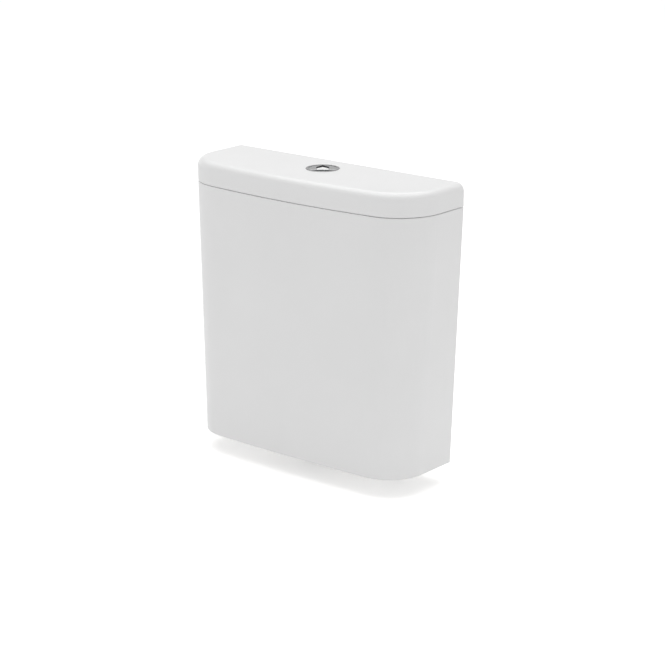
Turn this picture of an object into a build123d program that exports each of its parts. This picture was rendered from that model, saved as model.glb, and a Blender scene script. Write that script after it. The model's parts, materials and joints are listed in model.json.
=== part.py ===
from build123d import *
import math
import os

# Close coupled toilet cistern with a dual flush valve, a bottom entry fill valve and a
# round push button in its lid. Millimetres. The origin is on the flush outlet's axis, in
# the plane that the tank rests on. +Z is up, -Y is the front and the flat back is at +Y.

os.makedirs("parts", exist_ok=True)

# Clearances and overrun
OVERRUN = 1.0
SLIDE_GAP = 0.3
SEAT_GAP = 0.05
PIN_GAP = 0.08
CONTACT_GAP = 0.4

# Ceramic tank, outer form at the base and at the rim
TANK_HEIGHT = 358.6
RIM_WIDTH = 400.0
RIM_DEPTH = 128.0
RIM_CORNER_RADIUS = 66.0
RIM_BOW = 14.8
BASE_WIDTH = 369.0
BASE_DEPTH = 123.6
BASE_CORNER_RADIUS = 54.6
BASE_BOW = 5.4
OUTLET_TO_BACK = 49.4
CERAMIC_WALL = 9.0
RECESS_HEIGHT = 26.0
FLOOR_THICKNESS = 12.0
RIM_ROUNDING = 1.2
BASE_ROUNDING = 1.5
BACK_EDGE_ROUNDING = 2.0
FLOOR_COVE = 2.0
WALL_HOLE_RADIUS = 4.0
WALL_HOLE_DROP = 32.6
WALL_HOLE_SPACING = 290.0

# Ceramic lid
LID_HEIGHT = 32.4
LID_TOP_THICKNESS = 9.0
LID_TOP_ROUNDING = 11.0
LID_LOWER_ROUNDING = 0.6
LID_FOOT_HEIGHT = 0.8
LID_FOOT_INSET = 3.5
LUG_DROP = 8.0
LUG_THICKNESS = 6.0
LUG_GAP = 1.5
LUG_WIDTH = 30.0
LUG_SPACING = 250.0

# Push button: bezel, barrel and what is clipped in them. It stands turned in its round hole.
BUTTON_TURN_DEG = 39.6
BEZEL_RADIUS = 23.05
BEZEL_HEIGHT = 0.5
BEZEL_ROUNDING = 0.3
LID_HOLE_RADIUS = 21.3
BARREL_RADIUS = 21.0
BARREL_WALL = 1.2
BARREL_FLANGE_RADIUS = 22.1
BARREL_FLANGE_THICKNESS = 1.6
BARREL_LENGTH = 36.0
BARREL_FLOOR_THICKNESS = 3.0
BARREL_DRAIN_RADIUS = 4.0
GASKET_THICKNESS = 1.0
BARREL_NUT_RADIUS = 27.0
BARREL_NUT_THICKNESS = 8.0
NUT_LUGS = 8
NUT_LUG_DEPTH = 2.6
NUT_LUG_WIDTH = 7.0
BUTTON_GAP = 0.3
BUTTON_THICKNESS = 6.0
BUTTON_TRAVEL = 6.0
BUTTON_SINK = 0.2
BUTTON_ROUNDING = 0.7
HALF_BUTTON_SET_DOWN = 1.0
SPLIT_OFFSET = 10.5
SPLIT_GAP = 0.6
DISH_APEX = 18.4
DISH_SHOULDER = 7.5
DISH_HALF_WIDTH = 9.0
DISH_FRONT = 9.0
DISH_FRONT_HALF_WIDTH = 7.5
DISH_DEPTH = 2.1

# Push rods and return springs
ROD_RADIUS = 2.3
ROD_OFFSET = 13.0
ROD_SIDE = 4.5
ROD_HEAD_RADIUS = 3.8
ROD_HEAD_THICKNESS = 1.5
SPRING_RADIUS = 2.9
SPRING_WIRE_RADIUS = 0.35
SPRING_HALF_TURNS = 16
SPRING_POINTS = 12

# Flush valve base, washer, backnut and the seal under the tank
TAIL_RADIUS = 29.8
TAIL_BORE_RADIUS = 26.0
TAIL_REACH = 16.0
TAIL_RELIEF = 0.4
OUTLET_HOLE_RADIUS = 31.5
BASE_WASHER_THICKNESS = 3.0
BASE_FLANGE_RADIUS = 38.0
BASE_FLANGE_THICKNESS = 4.0
SEAT_RADIUS = 29.0
SEAT_HEIGHT = 4.0
SEAT_ROUNDING = 1.0
CAGE_RADIUS = 37.0
CAGE_WALL = 4.0
CAGE_HEIGHT = 73.0
CAGE_POSTS = 6
CAGE_WINDOW_WIDTH = 23.0
CAGE_RING_HEIGHT = 8.0
GUIDE_HUB_WALL = 2.6
GUIDE_SPOKE_WIDTH = 3.0
GUIDE_SPOKES = 3
BACKNUT_RADIUS = 36.0
BACKNUT_THICKNESS = 8.0
BACKNUT_LUG_DEPTH = 2.4
COUPLING_SEAL_RADIUS = 39.4
COUPLING_SEAL_TAPER = 3.0
COUPLING_SEAL_RISE = 1.0

# Moving column of the flush valve
OVERFLOW_RADIUS = 14.5
OVERFLOW_WALL = 2.0
FLUSH_SEAL_RADIUS = 32.0
FLUSH_SEAL_THICKNESS = 3.0
RETAINER_RADIUS = 24.0
RETAINER_THICKNESS = 4.0
RETAINER_CHAMFER = 1.5
SEAL_HOLDER_RADIUS = 31.0
SEAL_HOLDER_THICKNESS = 4.0
SEAL_HOLDER_HUB_RADIUS = 18.0
SEAL_HOLDER_HUB_HEIGHT = 20.0
SEAL_HOLDER_RIBS = 6
SEAL_HOLDER_RIB_WIDTH = 2.4
FLOAT_RADIUS = 24.4
FLOAT_ROUNDING = 3.0
FULL_FLOAT_HEIGHT = 42.0
HALF_FLOAT_HEIGHT = 28.0
FULL_FLOAT_GAP_SHARE = 0.19
HALF_FLOAT_GAP_SHARE = 0.46
FLOAT_COLLAR_RADIUS = 17.5
FLOAT_COLLAR_HEIGHT = 5.0

# Tower, head and rocker levers
TOWER_RADIUS = 30.0
TOWER_WALL = 4.0
TOWER_FOOT_RADIUS = 36.5
TOWER_FOOT_THICKNESS = 6.0
TOWER_POST_WIDTH = 8.0
TOWER_POSTS = 4
TOWER_POST_TURN_DEG = 45.0
TOWER_BAND_HEIGHT = 4.0
HEAD_RING_THICKNESS = 5.0
HEAD_TAB_THICKNESS = 1.6
HEAD_TAB_DROP = 8.0
LEVER_PLANE_DROP = 40.6
PIVOT_OFFSET = 2.5
AXLE_RADIUS = 1.5
CHEEK_INSIDE = 9.0
CHEEK_THICKNESS = 2.4
CHEEK_RISE = 4.0
CHEEK_DROP = 7.0
WEB_HALF_THICKNESS = 1.1
WEB_HALF_LENGTH = 6.0
CROSSBAR_HALF_WIDTH = 2.5
CROSSBAR_THICKNESS = 3.0
LEVER_HUB_RADIUS = 3.3
LEVER_HALF_HEIGHT = 2.5
LEVER_WIDTH = 6.6
LEVER_SIDE_GAP = 0.5
LEVER_PAD_REACH = 3.3
LEVER_RATIO_SHARE = 2.0
NOSE_RADIUS = 2.0

# Lift yoke on top of the overflow tube
YOKE_COLLAR_RADIUS = 18.0
YOKE_COLLAR_HEIGHT = 9.0
YOKE_COLLAR_SET_DOWN = 3.0
YOKE_TOP_GAP = 22.6
YOKE_ARM_HALF_WIDTH = 4.0
YOKE_ARM_THICKNESS = 5.0
YOKE_UPRIGHT_INSIDE = 22.0
YOKE_UPRIGHT_THICKNESS = 2.5
YOKE_FINGER_REACH = 9.5
YOKE_FINGER_THICKNESS = 3.0

# Fill valve: shank, seals and nut
INLET_OFFSET = 135.0
INLET_HOLE_RADIUS = 12.5
SHANK_RADIUS = 10.48
SHANK_BORE_RADIUS = 6.5
SHANK_REACH = 16.0
SHANK_FREE_LENGTH = 31.0
SHANK_RELIEF = 0.3
SHANK_FLANGE_RADIUS = 17.0
SHANK_FLANGE_THICKNESS = 4.0
INLET_WASHER_THICKNESS = 2.5
INLET_WASHER_RADIUS = 16.5
FRICTION_WASHER_THICKNESS = 1.5
INLET_NUT_THICKNESS = 8.5
INLET_NUT_FLATS = 30.0
RISER_RADIUS = 9.0
FILTER_HEIGHT = 14.0
FILTER_WALL = 1.0
FILTER_SLOTS = 6
FILTER_SLOT_WIDTH = 1.6

# Fill valve head and cap
DOWNTUBE_RADIUS = 12.6
DOWNTUBE_WALL = 1.2
DOWNTUBE_RISE = 28.0
HEAD_DROP = 102.6
HEAD_HEIGHT = 24.0
HEAD_RADIUS = 14.8
HEAD_SOCKET_DEPTH = 6.0
RISER_SOCKET_DEPTH = 12.0
CHAMBER_RADIUS = 11.4
CHAMBER_DEPTH = 10.0
PORT_RADIUS = 0.9
PORT_COUNT = 6
DIAPHRAGM_RADIUS = 13.0
DIAPHRAGM_THICKNESS = 1.6
DIAPHRAGM_BOSS_RADIUS = 7.5
DIAPHRAGM_BOSS_HEIGHT = 8.5
CAP_WALL = 1.7
CAP_HEIGHT = 11.0
CAP_SKIRT = 8.0
CAP_ROOF = 4.0
CAP_DOME_RADIUS = 9.0
NOZZLE_RADIUS = 2.0
NOZZLE_BORE_RADIUS = 0.8
NOZZLE_HEIGHT = 3.2

# Float lever: it is level when the valve is shut and hangs down when the tank is empty
FLOAT_RISE = 12.0
FILL_PIVOT_OFFSET = 12.0
FLOAT_ARM = 29.8
FLOAT_ARM_END = 6.2
SLOT_CENTRE = 31.0
SLOT_HALF_LENGTH = 1.4
FILL_CHEEK_THICKNESS = 2.0
FILL_CHEEK_HALF_LENGTH = 3.5
FILL_CHEEK_RISE = 3.2
FILL_LEVER_WIDTH = 8.0
FILL_LEVER_HALF_HEIGHT = 2.5
FILL_LEVER_TAIL = 3.5
FILL_PIN_RADIUS = 1.3
PILOT_SEAL_RADIUS = 2.6
PILOT_SEAL_THICKNESS = 1.4
PILOT_SEAL_SUNK = 0.9

# Float hanger, level screw and float cup
HANGER_PIN_RADIUS = 1.5
HANGER_EAR_THICKNESS = 2.0
HANGER_HALF_LENGTH = 4.6
HANGER_BASE_DROP = 13.5
HANGER_BASE_THICKNESS = 6.0
HANGER_EAR_RISE = 3.2
SCREW_NECK_RADIUS = 1.9
SCREW_HEAD_RADIUS = 3.2
SCREW_HEAD_THICKNESS = 1.6
SCREW_KNOB_RADIUS = 6.5
SCREW_KNOB_HEIGHT = 9.0
SCREW_KNOB_FLUTES = 12
SCREW_KNOB_FLUTE_RADIUS = 0.9
SCREW_RADIUS = 2.5
SCREW_LENGTH = 95.0
CUP_RADIUS = 33.0
CUP_WALL = 2.0
CUP_HEIGHT = 62.0
CUP_DROP = 208.6
CUP_GUIDE_GAP = 0.5
CUP_ROUNDING = 3.0
CUP_LUG_RADIUS = 6.0
CUP_LUG_HEIGHT = 16.0
CUP_LUG_HALF_WIDTH = 3.0

# Blanking plug of the spare inlet hole
PLUG_REACH = 19.0
PLUG_BORE_RADIUS = 7.0
PLUG_DOME_HEIGHT = 3.0
PLUG_DOME_SHARE = 0.7

# Bolts that couple the tank to the pan
BOLT_SPACING = 150.0
BOLT_RADIUS = 4.0
BOLT_HOLE_RADIUS = 6.5
BOLT_REACH = 26.0
BOLT_THREAD_LENGTH = 42.0
BOLT_SHANK_RADIUS = 3.6
BOLT_HEAD_FLATS = 13.0
BOLT_HEAD_HEIGHT = 5.4
BOLT_SLOT_WIDTH = 1.6
BOLT_SLOT_DEPTH = 2.0
CONE_WASHER_RADIUS = 12.0
CONE_WASHER_TIP_RADIUS = 6.0
CONE_WASHER_THICKNESS = 6.0
CONE_WASHER_SUNK = 4.0
CONE_WASHER_CHAMFER = 2.5
STEEL_WASHER_RADIUS = 11.0
STEEL_WASHER_BORE = 4.2
STEEL_WASHER_THICKNESS = 1.6
BOLT_NUT_FLATS = 13.0
BOLT_NUT_THICKNESS = 6.4

# Levels that several pieces share
FLOOR_TOP = RECESS_HEIGHT + FLOOR_THICKNESS
LID_EDGE = TANK_HEIGHT + LID_FOOT_HEIGHT
LID_TOP = TANK_HEIGHT + LID_HEIGHT
LID_SLAB_BOTTOM = LID_TOP - LID_TOP_THICKNESS
BEZEL_TOP = LID_TOP + BEZEL_HEIGHT
BUTTON_TOP = BEZEL_TOP - BUTTON_SINK
BUTTON_BOTTOM = BUTTON_TOP - BUTTON_THICKNESS
FLANGE_BOTTOM = LID_TOP - BARREL_FLANGE_THICKNESS
LID_SEAT = FLANGE_BOTTOM - GASKET_THICKNESS
BARREL_BORE = BARREL_RADIUS - BARREL_WALL
BUTTON_RADIUS = BARREL_BORE - BUTTON_GAP
BARREL_BOTTOM = LID_TOP - BARREL_LENGTH
SPRING_SEAT = BARREL_BOTTOM + BARREL_FLOOR_THICKNESS
ROD_HEAD_BOTTOM = BUTTON_BOTTOM - ROD_HEAD_THICKNESS
LEVER_PLANE = TANK_HEIGHT - LEVER_PLANE_DROP
BASE_FLANGE_BOTTOM = FLOOR_TOP + BASE_WASHER_THICKNESS
BASE_FLANGE_TOP = BASE_FLANGE_BOTTOM + BASE_FLANGE_THICKNESS
SEAT_TOP = BASE_FLANGE_TOP + SEAT_HEIGHT
SEAL_BOTTOM = SEAT_TOP + SLIDE_GAP
SEAL_TOP = SEAL_BOTTOM + FLUSH_SEAL_THICKNESS
CAGE_TOP = BASE_FLANGE_TOP + CAGE_HEIGHT
TOWER_BORE = TOWER_RADIUS - TOWER_WALL
HEAD_RING_BOTTOM = LEVER_PLANE - CHEEK_DROP
OVERFLOW_TOP = LEVER_PLANE - YOKE_TOP_GAP
YOKE_TOP = OVERFLOW_TOP - YOKE_COLLAR_SET_DOWN
YOKE_BOTTOM = YOKE_TOP - YOKE_COLLAR_HEIGHT
FLOATS_LENGTH = FULL_FLOAT_HEIGHT + HALF_FLOAT_HEIGHT + 2 * FLOAT_COLLAR_HEIGHT
FLOATS_FREE_LENGTH = YOKE_BOTTOM - CAGE_TOP - FLOATS_LENGTH
SHORT_ARM = ROD_OFFSET - PIVOT_OFFSET
NOSE_OFFSET = SHORT_ARM * LEVER_RATIO_SHARE - PIVOT_OFFSET
INLET_FLANGE_BOTTOM = FLOOR_TOP + INLET_WASHER_THICKNESS
DOWNTUBE_BOTTOM = FLOOR_TOP + DOWNTUBE_RISE
HEAD_BOTTOM = TANK_HEIGHT - HEAD_DROP
HEAD_TOP = HEAD_BOTTOM + HEAD_HEIGHT
CAP_TOP = HEAD_TOP + CAP_HEIGHT
NOZZLE_TOP = CAP_TOP + NOZZLE_HEIGHT
FILL_PIVOT_LEVEL = (
    NOZZLE_TOP + SLIDE_GAP + PILOT_SEAL_THICKNESS - PILOT_SEAL_SUNK + FILL_LEVER_HALF_HEIGHT
)
FILL_PIVOT_X = INLET_OFFSET - FILL_PIVOT_OFFSET
HANGER_X = FILL_PIVOT_X - FLOAT_ARM
HANGER_PIN_LEVEL = FILL_PIVOT_LEVEL - FLOAT_RISE
HANGER_BASE_BOTTOM = HANGER_PIN_LEVEL - HANGER_BASE_DROP
HANGER_BASE_TOP = HANGER_BASE_BOTTOM + HANGER_BASE_THICKNESS
CUP_BOTTOM = TANK_HEIGHT - CUP_DROP
FILL_SWING_DEG = math.degrees(math.atan2(FLOAT_RISE, FLOAT_ARM))


def rod(radius, bottom, top, x=0, y=0):
    """Upright cylinder between two levels."""
    return Pos(x, y, (bottom + top) / 2) * Cylinder(radius, top - bottom)


def ring(radius, bore, bottom, top, x=0, y=0):
    """Upright tube between two levels."""
    return rod(radius, bottom, top, x, y) - rod(bore, bottom - OVERRUN, top + OVERRUN, x, y)


def block(x_low, x_high, y_low, y_high, z_low, z_high):
    """Box between two corners."""
    size = Box(x_high - x_low, y_high - y_low, z_high - z_low)
    return Pos((x_low + x_high) / 2, (y_low + y_high) / 2, (z_low + z_high) / 2) * size


def cross_pin(radius, low, high, y, z):
    """Pin along X between two places."""
    return Pos((low + high) / 2, y, z) * Rot(0, 90, 0) * Cylinder(radius, high - low)


def fore_pin(radius, low, high, x, z):
    """Pin along Y between two places."""
    return Pos(x, (low + high) / 2, z) * Rot(90, 0, 0) * Cylinder(radius, high - low)


def hexagon(flats, bottom, top, x=0, y=0):
    """Upright hexagonal prism."""
    corner = flats / math.sqrt(3)
    return Pos(x, y, bottom) * extrude(RegularPolygon(corner, 6), top - bottom)


def around(shape, count):
    """Copies of a shape, evenly turned about the Z axis."""
    return [Rot(0, 0, 360 * index / count) * shape for index in range(count)]


def turned(shape):
    """A piece of the button or the flush valve, turned with the button in its hole."""
    return Rot(0, 0, BUTTON_TURN_DEG) * shape


def write(name, *solids):
    """Write one node, as one solid or as a group of separate ones."""
    shape = solids[0] if len(solids) == 1 else Compound(children=list(solids))
    export_step(shape, f"parts/{name}.step")


# Outline of the tank and lid, seen from above


def outline(width, depth, corner_radius, bow, inset, level):
    """Flat back, straight sides, round front corners and a bowed front, drawn inwards by inset."""
    half = width / 2
    front_radius = (half**2 + bow**2) / (2 * bow)
    front_centre = OUTLET_TO_BACK - depth + front_radius
    corner_x = half - corner_radius
    corner_y = front_centre - math.sqrt((front_radius - corner_radius) ** 2 - corner_x**2)
    turn = math.atan2(corner_y - front_centre, corner_x)
    small = corner_radius - inset
    large = front_radius - inset
    side = half - inset
    back = OUTLET_TO_BACK - inset
    mid_x = corner_x + small * math.cos(turn / 2)
    mid_y = corner_y + small * math.sin(turn / 2)
    end_x = large * math.cos(turn)
    end_y = front_centre + large * math.sin(turn)
    edges = [
        Line((-side, back), (side, back)),
        Line((side, back), (side, corner_y)),
        ThreePointArc((side, corner_y), (mid_x, mid_y), (end_x, end_y)),
        ThreePointArc((end_x, end_y), (0, front_centre - large), (-end_x, end_y)),
        ThreePointArc((-end_x, end_y), (-mid_x, mid_y), (-side, corner_y)),
        Line((-side, corner_y), (-side, back)),
    ]
    return Pos(0, 0, level) * make_face(Wire(edges))


def tank_section(level, inset):
    """The tank's outline at one level: it widens evenly from the base to the rim."""
    share = level / TANK_HEIGHT
    width = BASE_WIDTH + (RIM_WIDTH - BASE_WIDTH) * share
    depth = BASE_DEPTH + (RIM_DEPTH - BASE_DEPTH) * share
    corner_radius = BASE_CORNER_RADIUS + (RIM_CORNER_RADIUS - BASE_CORNER_RADIUS) * share
    bow = BASE_BOW + (RIM_BOW - BASE_BOW) * share
    return outline(width, depth, corner_radius, bow, inset, level)


def tank_form(bottom, top, inset, inset_below=None):
    """Solid of the tank's tapered form between two levels."""
    below = inset if inset_below is None else inset_below
    return loft([tank_section(bottom, below), tank_section(top, inset)], ruled=True)


def lid_form(bottom, top, inset):
    """Upright solid of the lid's outline between two levels."""
    face = outline(RIM_WIDTH, RIM_DEPTH, RIM_CORNER_RADIUS, RIM_BOW, inset, bottom)
    return extrude(face, top - bottom)


def upright_back_edges(solid, low, high):
    """Edges that climb from one level to the other at the flat back."""
    found = []
    for edge in solid.edges():
        box = edge.bounding_box()
        climbs = box.max.Z - box.min.Z > (high - low) / 2
        if climbs and box.min.Y > OUTLET_TO_BACK - CERAMIC_WALL - OVERRUN:
            found.append(edge)
    return found


def edges_at(solid, level):
    """Edges that lie in one level plane."""
    return solid.edges().filter_by_position(Axis.Z, level - SEAT_GAP, level + SEAT_GAP)


# Ceramic tank and lid


def cistern_tank():
    body = tank_form(0, TANK_HEIGHT, 0)
    body = fillet(upright_back_edges(body, 0, TANK_HEIGHT), BACK_EDGE_ROUNDING)
    body = fillet(edges_at(body, TANK_HEIGHT), RIM_ROUNDING)
    body = fillet(edges_at(body, 0), BASE_ROUNDING)
    cove_top = FLOOR_TOP + FLOOR_COVE
    body -= tank_form(cove_top, TANK_HEIGHT + OVERRUN, CERAMIC_WALL)
    body -= tank_form(FLOOR_TOP, cove_top, CERAMIC_WALL, CERAMIC_WALL + FLOOR_COVE)
    body -= tank_form(-OVERRUN, RECESS_HEIGHT, CERAMIC_WALL)
    low, high = RECESS_HEIGHT - OVERRUN, FLOOR_TOP + OVERRUN
    body -= rod(OUTLET_HOLE_RADIUS, low, high)
    wall_low = OUTLET_TO_BACK - CERAMIC_WALL - OVERRUN
    wall_high = OUTLET_TO_BACK + OVERRUN
    for side in (-1, 1):
        wall_x = side * WALL_HOLE_SPACING / 2
        body -= rod(INLET_HOLE_RADIUS, low, high, side * INLET_OFFSET)
        body -= rod(BOLT_HOLE_RADIUS, low, high, side * BOLT_SPACING / 2)
        body -= fore_pin(WALL_HOLE_RADIUS, wall_low, wall_high, wall_x, TANK_HEIGHT - WALL_HOLE_DROP)
    return body


def cistern_lid():
    body = lid_form(LID_EDGE, LID_TOP, 0)
    front = OUTLET_TO_BACK - BACK_EDGE_ROUNDING
    rounded = [edge for edge in edges_at(body, LID_TOP) if edge.bounding_box().min.Y < front]
    body = fillet(rounded, LID_TOP_ROUNDING)
    back_face = body.faces().sort_by(Axis.Y)[-1]
    back = [edge for edge in back_face.edges() if edge.bounding_box().max.Z > LID_EDGE + OVERRUN]
    body = fillet(back, BACK_EDGE_ROUNDING)
    body = fillet(edges_at(body, LID_EDGE), LID_LOWER_ROUNDING)
    body += lid_form(TANK_HEIGHT, LID_EDGE + OVERRUN, LID_FOOT_INSET)
    body -= lid_form(TANK_HEIGHT - OVERRUN, LID_SLAB_BOTTOM, CERAMIC_WALL)
    body -= rod(LID_HOLE_RADIUS, LID_SLAB_BOTTOM - OVERRUN, LID_TOP + OVERRUN)
    body -= rod(BARREL_FLANGE_RADIUS + SLIDE_GAP, LID_SEAT, LID_TOP + OVERRUN)
    low, high = TANK_HEIGHT - LUG_DROP, LID_SLAB_BOTTOM + OVERRUN
    lugs = lid_form(low, high, CERAMIC_WALL + LUG_GAP)
    lugs -= lid_form(low - OVERRUN, high + OVERRUN, CERAMIC_WALL + LUG_GAP + LUG_THICKNESS)
    for side in (-1, 1):
        centre = side * LUG_SPACING / 2
        left, right = centre - LUG_WIDTH / 2, centre + LUG_WIDTH / 2
        body += lugs & block(left, right, -RIM_DEPTH, RIM_DEPTH, low, high)
    return body


# Push button


def button_bezel():
    body = ring(BEZEL_RADIUS, BARREL_BORE, LID_TOP, BEZEL_TOP)
    return fillet(edges_at(body, BEZEL_TOP).sort_by(SortBy.RADIUS)[-1], BEZEL_ROUNDING)


def button_barrel():
    body = ring(BARREL_RADIUS, BARREL_BORE, BARREL_BOTTOM, LID_TOP)
    body += ring(BARREL_FLANGE_RADIUS, BARREL_BORE, FLANGE_BOTTOM, LID_TOP)
    body += rod(BARREL_RADIUS, BARREL_BOTTOM, SPRING_SEAT)
    low, high = BARREL_BOTTOM - OVERRUN, SPRING_SEAT + OVERRUN
    body -= rod(BARREL_DRAIN_RADIUS, low, high)
    for side in (-1, 1):
        body -= rod(ROD_RADIUS + SLIDE_GAP, low, high, side * ROD_SIDE, side * ROD_OFFSET)
    return body


def button_gasket():
    return ring(BARREL_FLANGE_RADIUS, BARREL_RADIUS + SEAT_GAP, LID_SEAT, FLANGE_BOTTOM)


def lugged_nut(radius, lug_depth, lug_width, lug_count, bore, bottom, top):
    """Hand turned nut: a ring with square grips round it."""
    body = rod(radius - lug_depth, bottom, top)
    grip = block(0, radius, -lug_width / 2, lug_width / 2, bottom, top)
    for lug in around(grip, lug_count):
        body += lug
    return body - rod(bore, bottom - OVERRUN, top + OVERRUN)


def button_barrel_nut():
    bottom = LID_SLAB_BOTTOM - BARREL_NUT_THICKNESS
    bore = BARREL_RADIUS + SEAT_GAP
    return lugged_nut(
        BARREL_NUT_RADIUS, NUT_LUG_DEPTH, NUT_LUG_WIDTH, NUT_LUGS, bore, bottom, LID_SLAB_BOTTOM
    )


def button_plate(front, back, top):
    """Slice of the round button between two lines across it."""
    disc = rod(BUTTON_RADIUS, BUTTON_BOTTOM, top)
    plate = disc & block(-BEZEL_RADIUS, BEZEL_RADIUS, front, back, BUTTON_BOTTOM, top)
    return fillet(edges_at(plate, top), BUTTON_ROUNDING)


def finger_dish():
    """Five cornered hollow: its floor sinks from the front edge and is level at the back."""
    low, high = BUTTON_TOP - DISH_DEPTH, BUTTON_TOP + OVERRUN
    corners = [
        (-DISH_FRONT_HALF_WIDTH, -DISH_FRONT),
        (DISH_FRONT_HALF_WIDTH, -DISH_FRONT),
        (DISH_HALF_WIDTH, DISH_SHOULDER),
        (0, DISH_APEX),
        (-DISH_HALF_WIDTH, DISH_SHOULDER),
    ]
    footprint = Pos(0, 0, low) * extrude(make_face(Polyline(*corners, close=True)), high - low)
    profile = [
        (-DISH_FRONT, BUTTON_TOP),
        (DISH_SHOULDER, low),
        (DISH_APEX, low),
        (DISH_APEX, high),
        (-DISH_FRONT, high),
    ]
    side = Plane.YZ * make_face(Polyline(*profile, close=True))
    return footprint & extrude(side, DISH_HALF_WIDTH, both=True)


def full_flush_button():
    """Large plate, relieved below where it passes the top of the other button's spring."""
    plate = button_plate(-SPLIT_OFFSET + SPLIT_GAP / 2, BEZEL_RADIUS, BUTTON_TOP)
    radius = SPRING_RADIUS + SPRING_WIRE_RADIUS + BUTTON_GAP
    relief_top = ROD_HEAD_BOTTOM + BUTTON_TRAVEL + BUTTON_GAP
    relief = rod(radius, BUTTON_BOTTOM - OVERRUN, relief_top, -ROD_SIDE, -ROD_OFFSET)
    return plate - finger_dish() - relief


def half_flush_button():
    top = BUTTON_TOP - HALF_BUTTON_SET_DOWN
    return button_plate(-BEZEL_RADIUS, -SPLIT_OFFSET - SPLIT_GAP / 2, top)


def push_rod(side):
    """Rod under a button: a flat head cut off at the split, and a round tip over its lever."""
    x, y = side * ROD_SIDE, side * ROD_OFFSET
    tip = LEVER_PLANE + LEVER_HALF_HEIGHT + CONTACT_GAP + ROD_RADIUS
    body = rod(ROD_RADIUS, tip, BUTTON_BOTTOM, x, y)
    near, far = side * (SPLIT_OFFSET + SPLIT_GAP / 2), side * BEZEL_RADIUS
    under_plate = block(
        -BEZEL_RADIUS, BEZEL_RADIUS, min(near, far), max(near, far), ROD_HEAD_BOTTOM, BUTTON_BOTTOM
    )
    body += rod(ROD_HEAD_RADIUS, ROD_HEAD_BOTTOM, BUTTON_BOTTOM, x, y) & under_plate
    return body + Pos(x, y, tip) * Sphere(ROD_RADIUS)


def biarc(start, start_way, end, end_way):
    """Two tangent arcs from one point and direction to another."""
    span = end - start
    ways = start_way + end_way
    square = 2 * (1 - start_way.dot(end_way))
    reach = span.dot(ways)
    handle = (math.sqrt(reach**2 + square * span.dot(span)) - reach) / square
    joint = (start + end + (start_way - end_way) * handle) / 2
    joint_way = (end - end_way * handle) - (start + start_way * handle)
    first = TangentArc(start, joint, tangent=start_way)
    second = TangentArc(joint, end, tangent=joint_way)
    return [first, second]


def return_spring(side):
    """Coil spring round a push rod, between the barrel's floor and the rod's head."""
    low = SPRING_SEAT + SPRING_WIRE_RADIUS + SEAT_GAP
    high = ROD_HEAD_BOTTOM - SPRING_WIRE_RADIUS - SEAT_GAP
    climb = (high - low) / SPRING_HALF_TURNS
    points = []
    ways = []
    for step in range(SPRING_HALF_TURNS + 1):
        x = SPRING_RADIUS if step % 2 == 0 else -SPRING_RADIUS
        forward = math.pi * x
        points.append(Vector(side * ROD_SIDE + x, side * ROD_OFFSET, low + climb * step))
        ways.append(Vector(0, forward, climb).normalized())
    path = []
    for step in range(SPRING_HALF_TURNS):
        path += biarc(points[step], ways[step], points[step + 1], ways[step + 1])
    wire = Plane(points[0], z_dir=ways[0]) * Circle(SPRING_WIRE_RADIUS)
    return sweep(wire, path=Wire(path))


def spring_gap():
    """Least gap between one turn of a return spring and the next."""
    low = SPRING_SEAT + SPRING_WIRE_RADIUS + SEAT_GAP
    high = ROD_HEAD_BOTTOM - SPRING_WIRE_RADIUS - SEAT_GAP
    steps = SPRING_HALF_TURNS * SPRING_POINTS
    points = []
    for step in range(steps + 1):
        angle = math.pi * step / SPRING_POINTS
        level = low + (high - low) * step / steps
        points.append((SPRING_RADIUS * math.cos(angle), SPRING_RADIUS * math.sin(angle), level))
    least = min(
        math.dist(points[first], points[second])
        for first in range(len(points))
        for second in range(first + SPRING_POINTS, len(points))
    )
    return least - 2 * SPRING_WIRE_RADIUS


# Flush valve base and what clamps it to the tank


def flush_valve_base():
    bore_low, bore_high = -TAIL_REACH - OVERRUN, CAGE_TOP + OVERRUN
    seat = rod(SEAT_RADIUS, BASE_FLANGE_BOTTOM, SEAT_TOP)
    seat -= rod(TAIL_BORE_RADIUS, bore_low, bore_high)
    seat = fillet(edges_at(seat, SEAT_TOP), SEAT_ROUNDING)
    inside = CAGE_RADIUS - CAGE_WALL
    cage = ring(CAGE_RADIUS, inside, BASE_FLANGE_TOP, CAGE_TOP)
    window_half = CAGE_WINDOW_WIDTH / 2
    ring_bottom = CAGE_TOP - CAGE_RING_HEIGHT
    low = BASE_FLANGE_TOP - OVERRUN
    window = block(0, CAGE_RADIUS + OVERRUN, -window_half, window_half, low, ring_bottom)
    for opening in around(window, CAGE_POSTS):
        cage -= opening
    guide_bore = OVERFLOW_RADIUS + SLIDE_GAP
    hub_radius = guide_bore + GUIDE_HUB_WALL
    spoke_half = GUIDE_SPOKE_WIDTH / 2
    spoke = block(0, inside + OVERRUN, -spoke_half, spoke_half, ring_bottom, CAGE_TOP)
    guide = rod(hub_radius, ring_bottom, CAGE_TOP)
    for arm in around(spoke, GUIDE_SPOKES):
        guide += arm
    guide -= rod(guide_bore, ring_bottom - OVERRUN, CAGE_TOP + OVERRUN)
    body = rod(TAIL_RADIUS, -TAIL_REACH, 0)
    body += rod(TAIL_RADIUS - TAIL_RELIEF, 0, BASE_FLANGE_TOP)
    body += rod(BASE_FLANGE_RADIUS, BASE_FLANGE_BOTTOM, BASE_FLANGE_TOP)
    body -= rod(TAIL_BORE_RADIUS, bore_low, bore_high)
    return body + seat + cage + guide


def flush_valve_washer():
    return ring(BASE_FLANGE_RADIUS, TAIL_RADIUS + SEAT_GAP, FLOOR_TOP, BASE_FLANGE_BOTTOM)


def flush_valve_backnut():
    bottom = RECESS_HEIGHT - BACKNUT_THICKNESS
    bore = TAIL_RADIUS + SEAT_GAP
    return lugged_nut(
        BACKNUT_RADIUS, BACKNUT_LUG_DEPTH, NUT_LUG_WIDTH, NUT_LUGS, bore, bottom, RECESS_HEIGHT
    )


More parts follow.
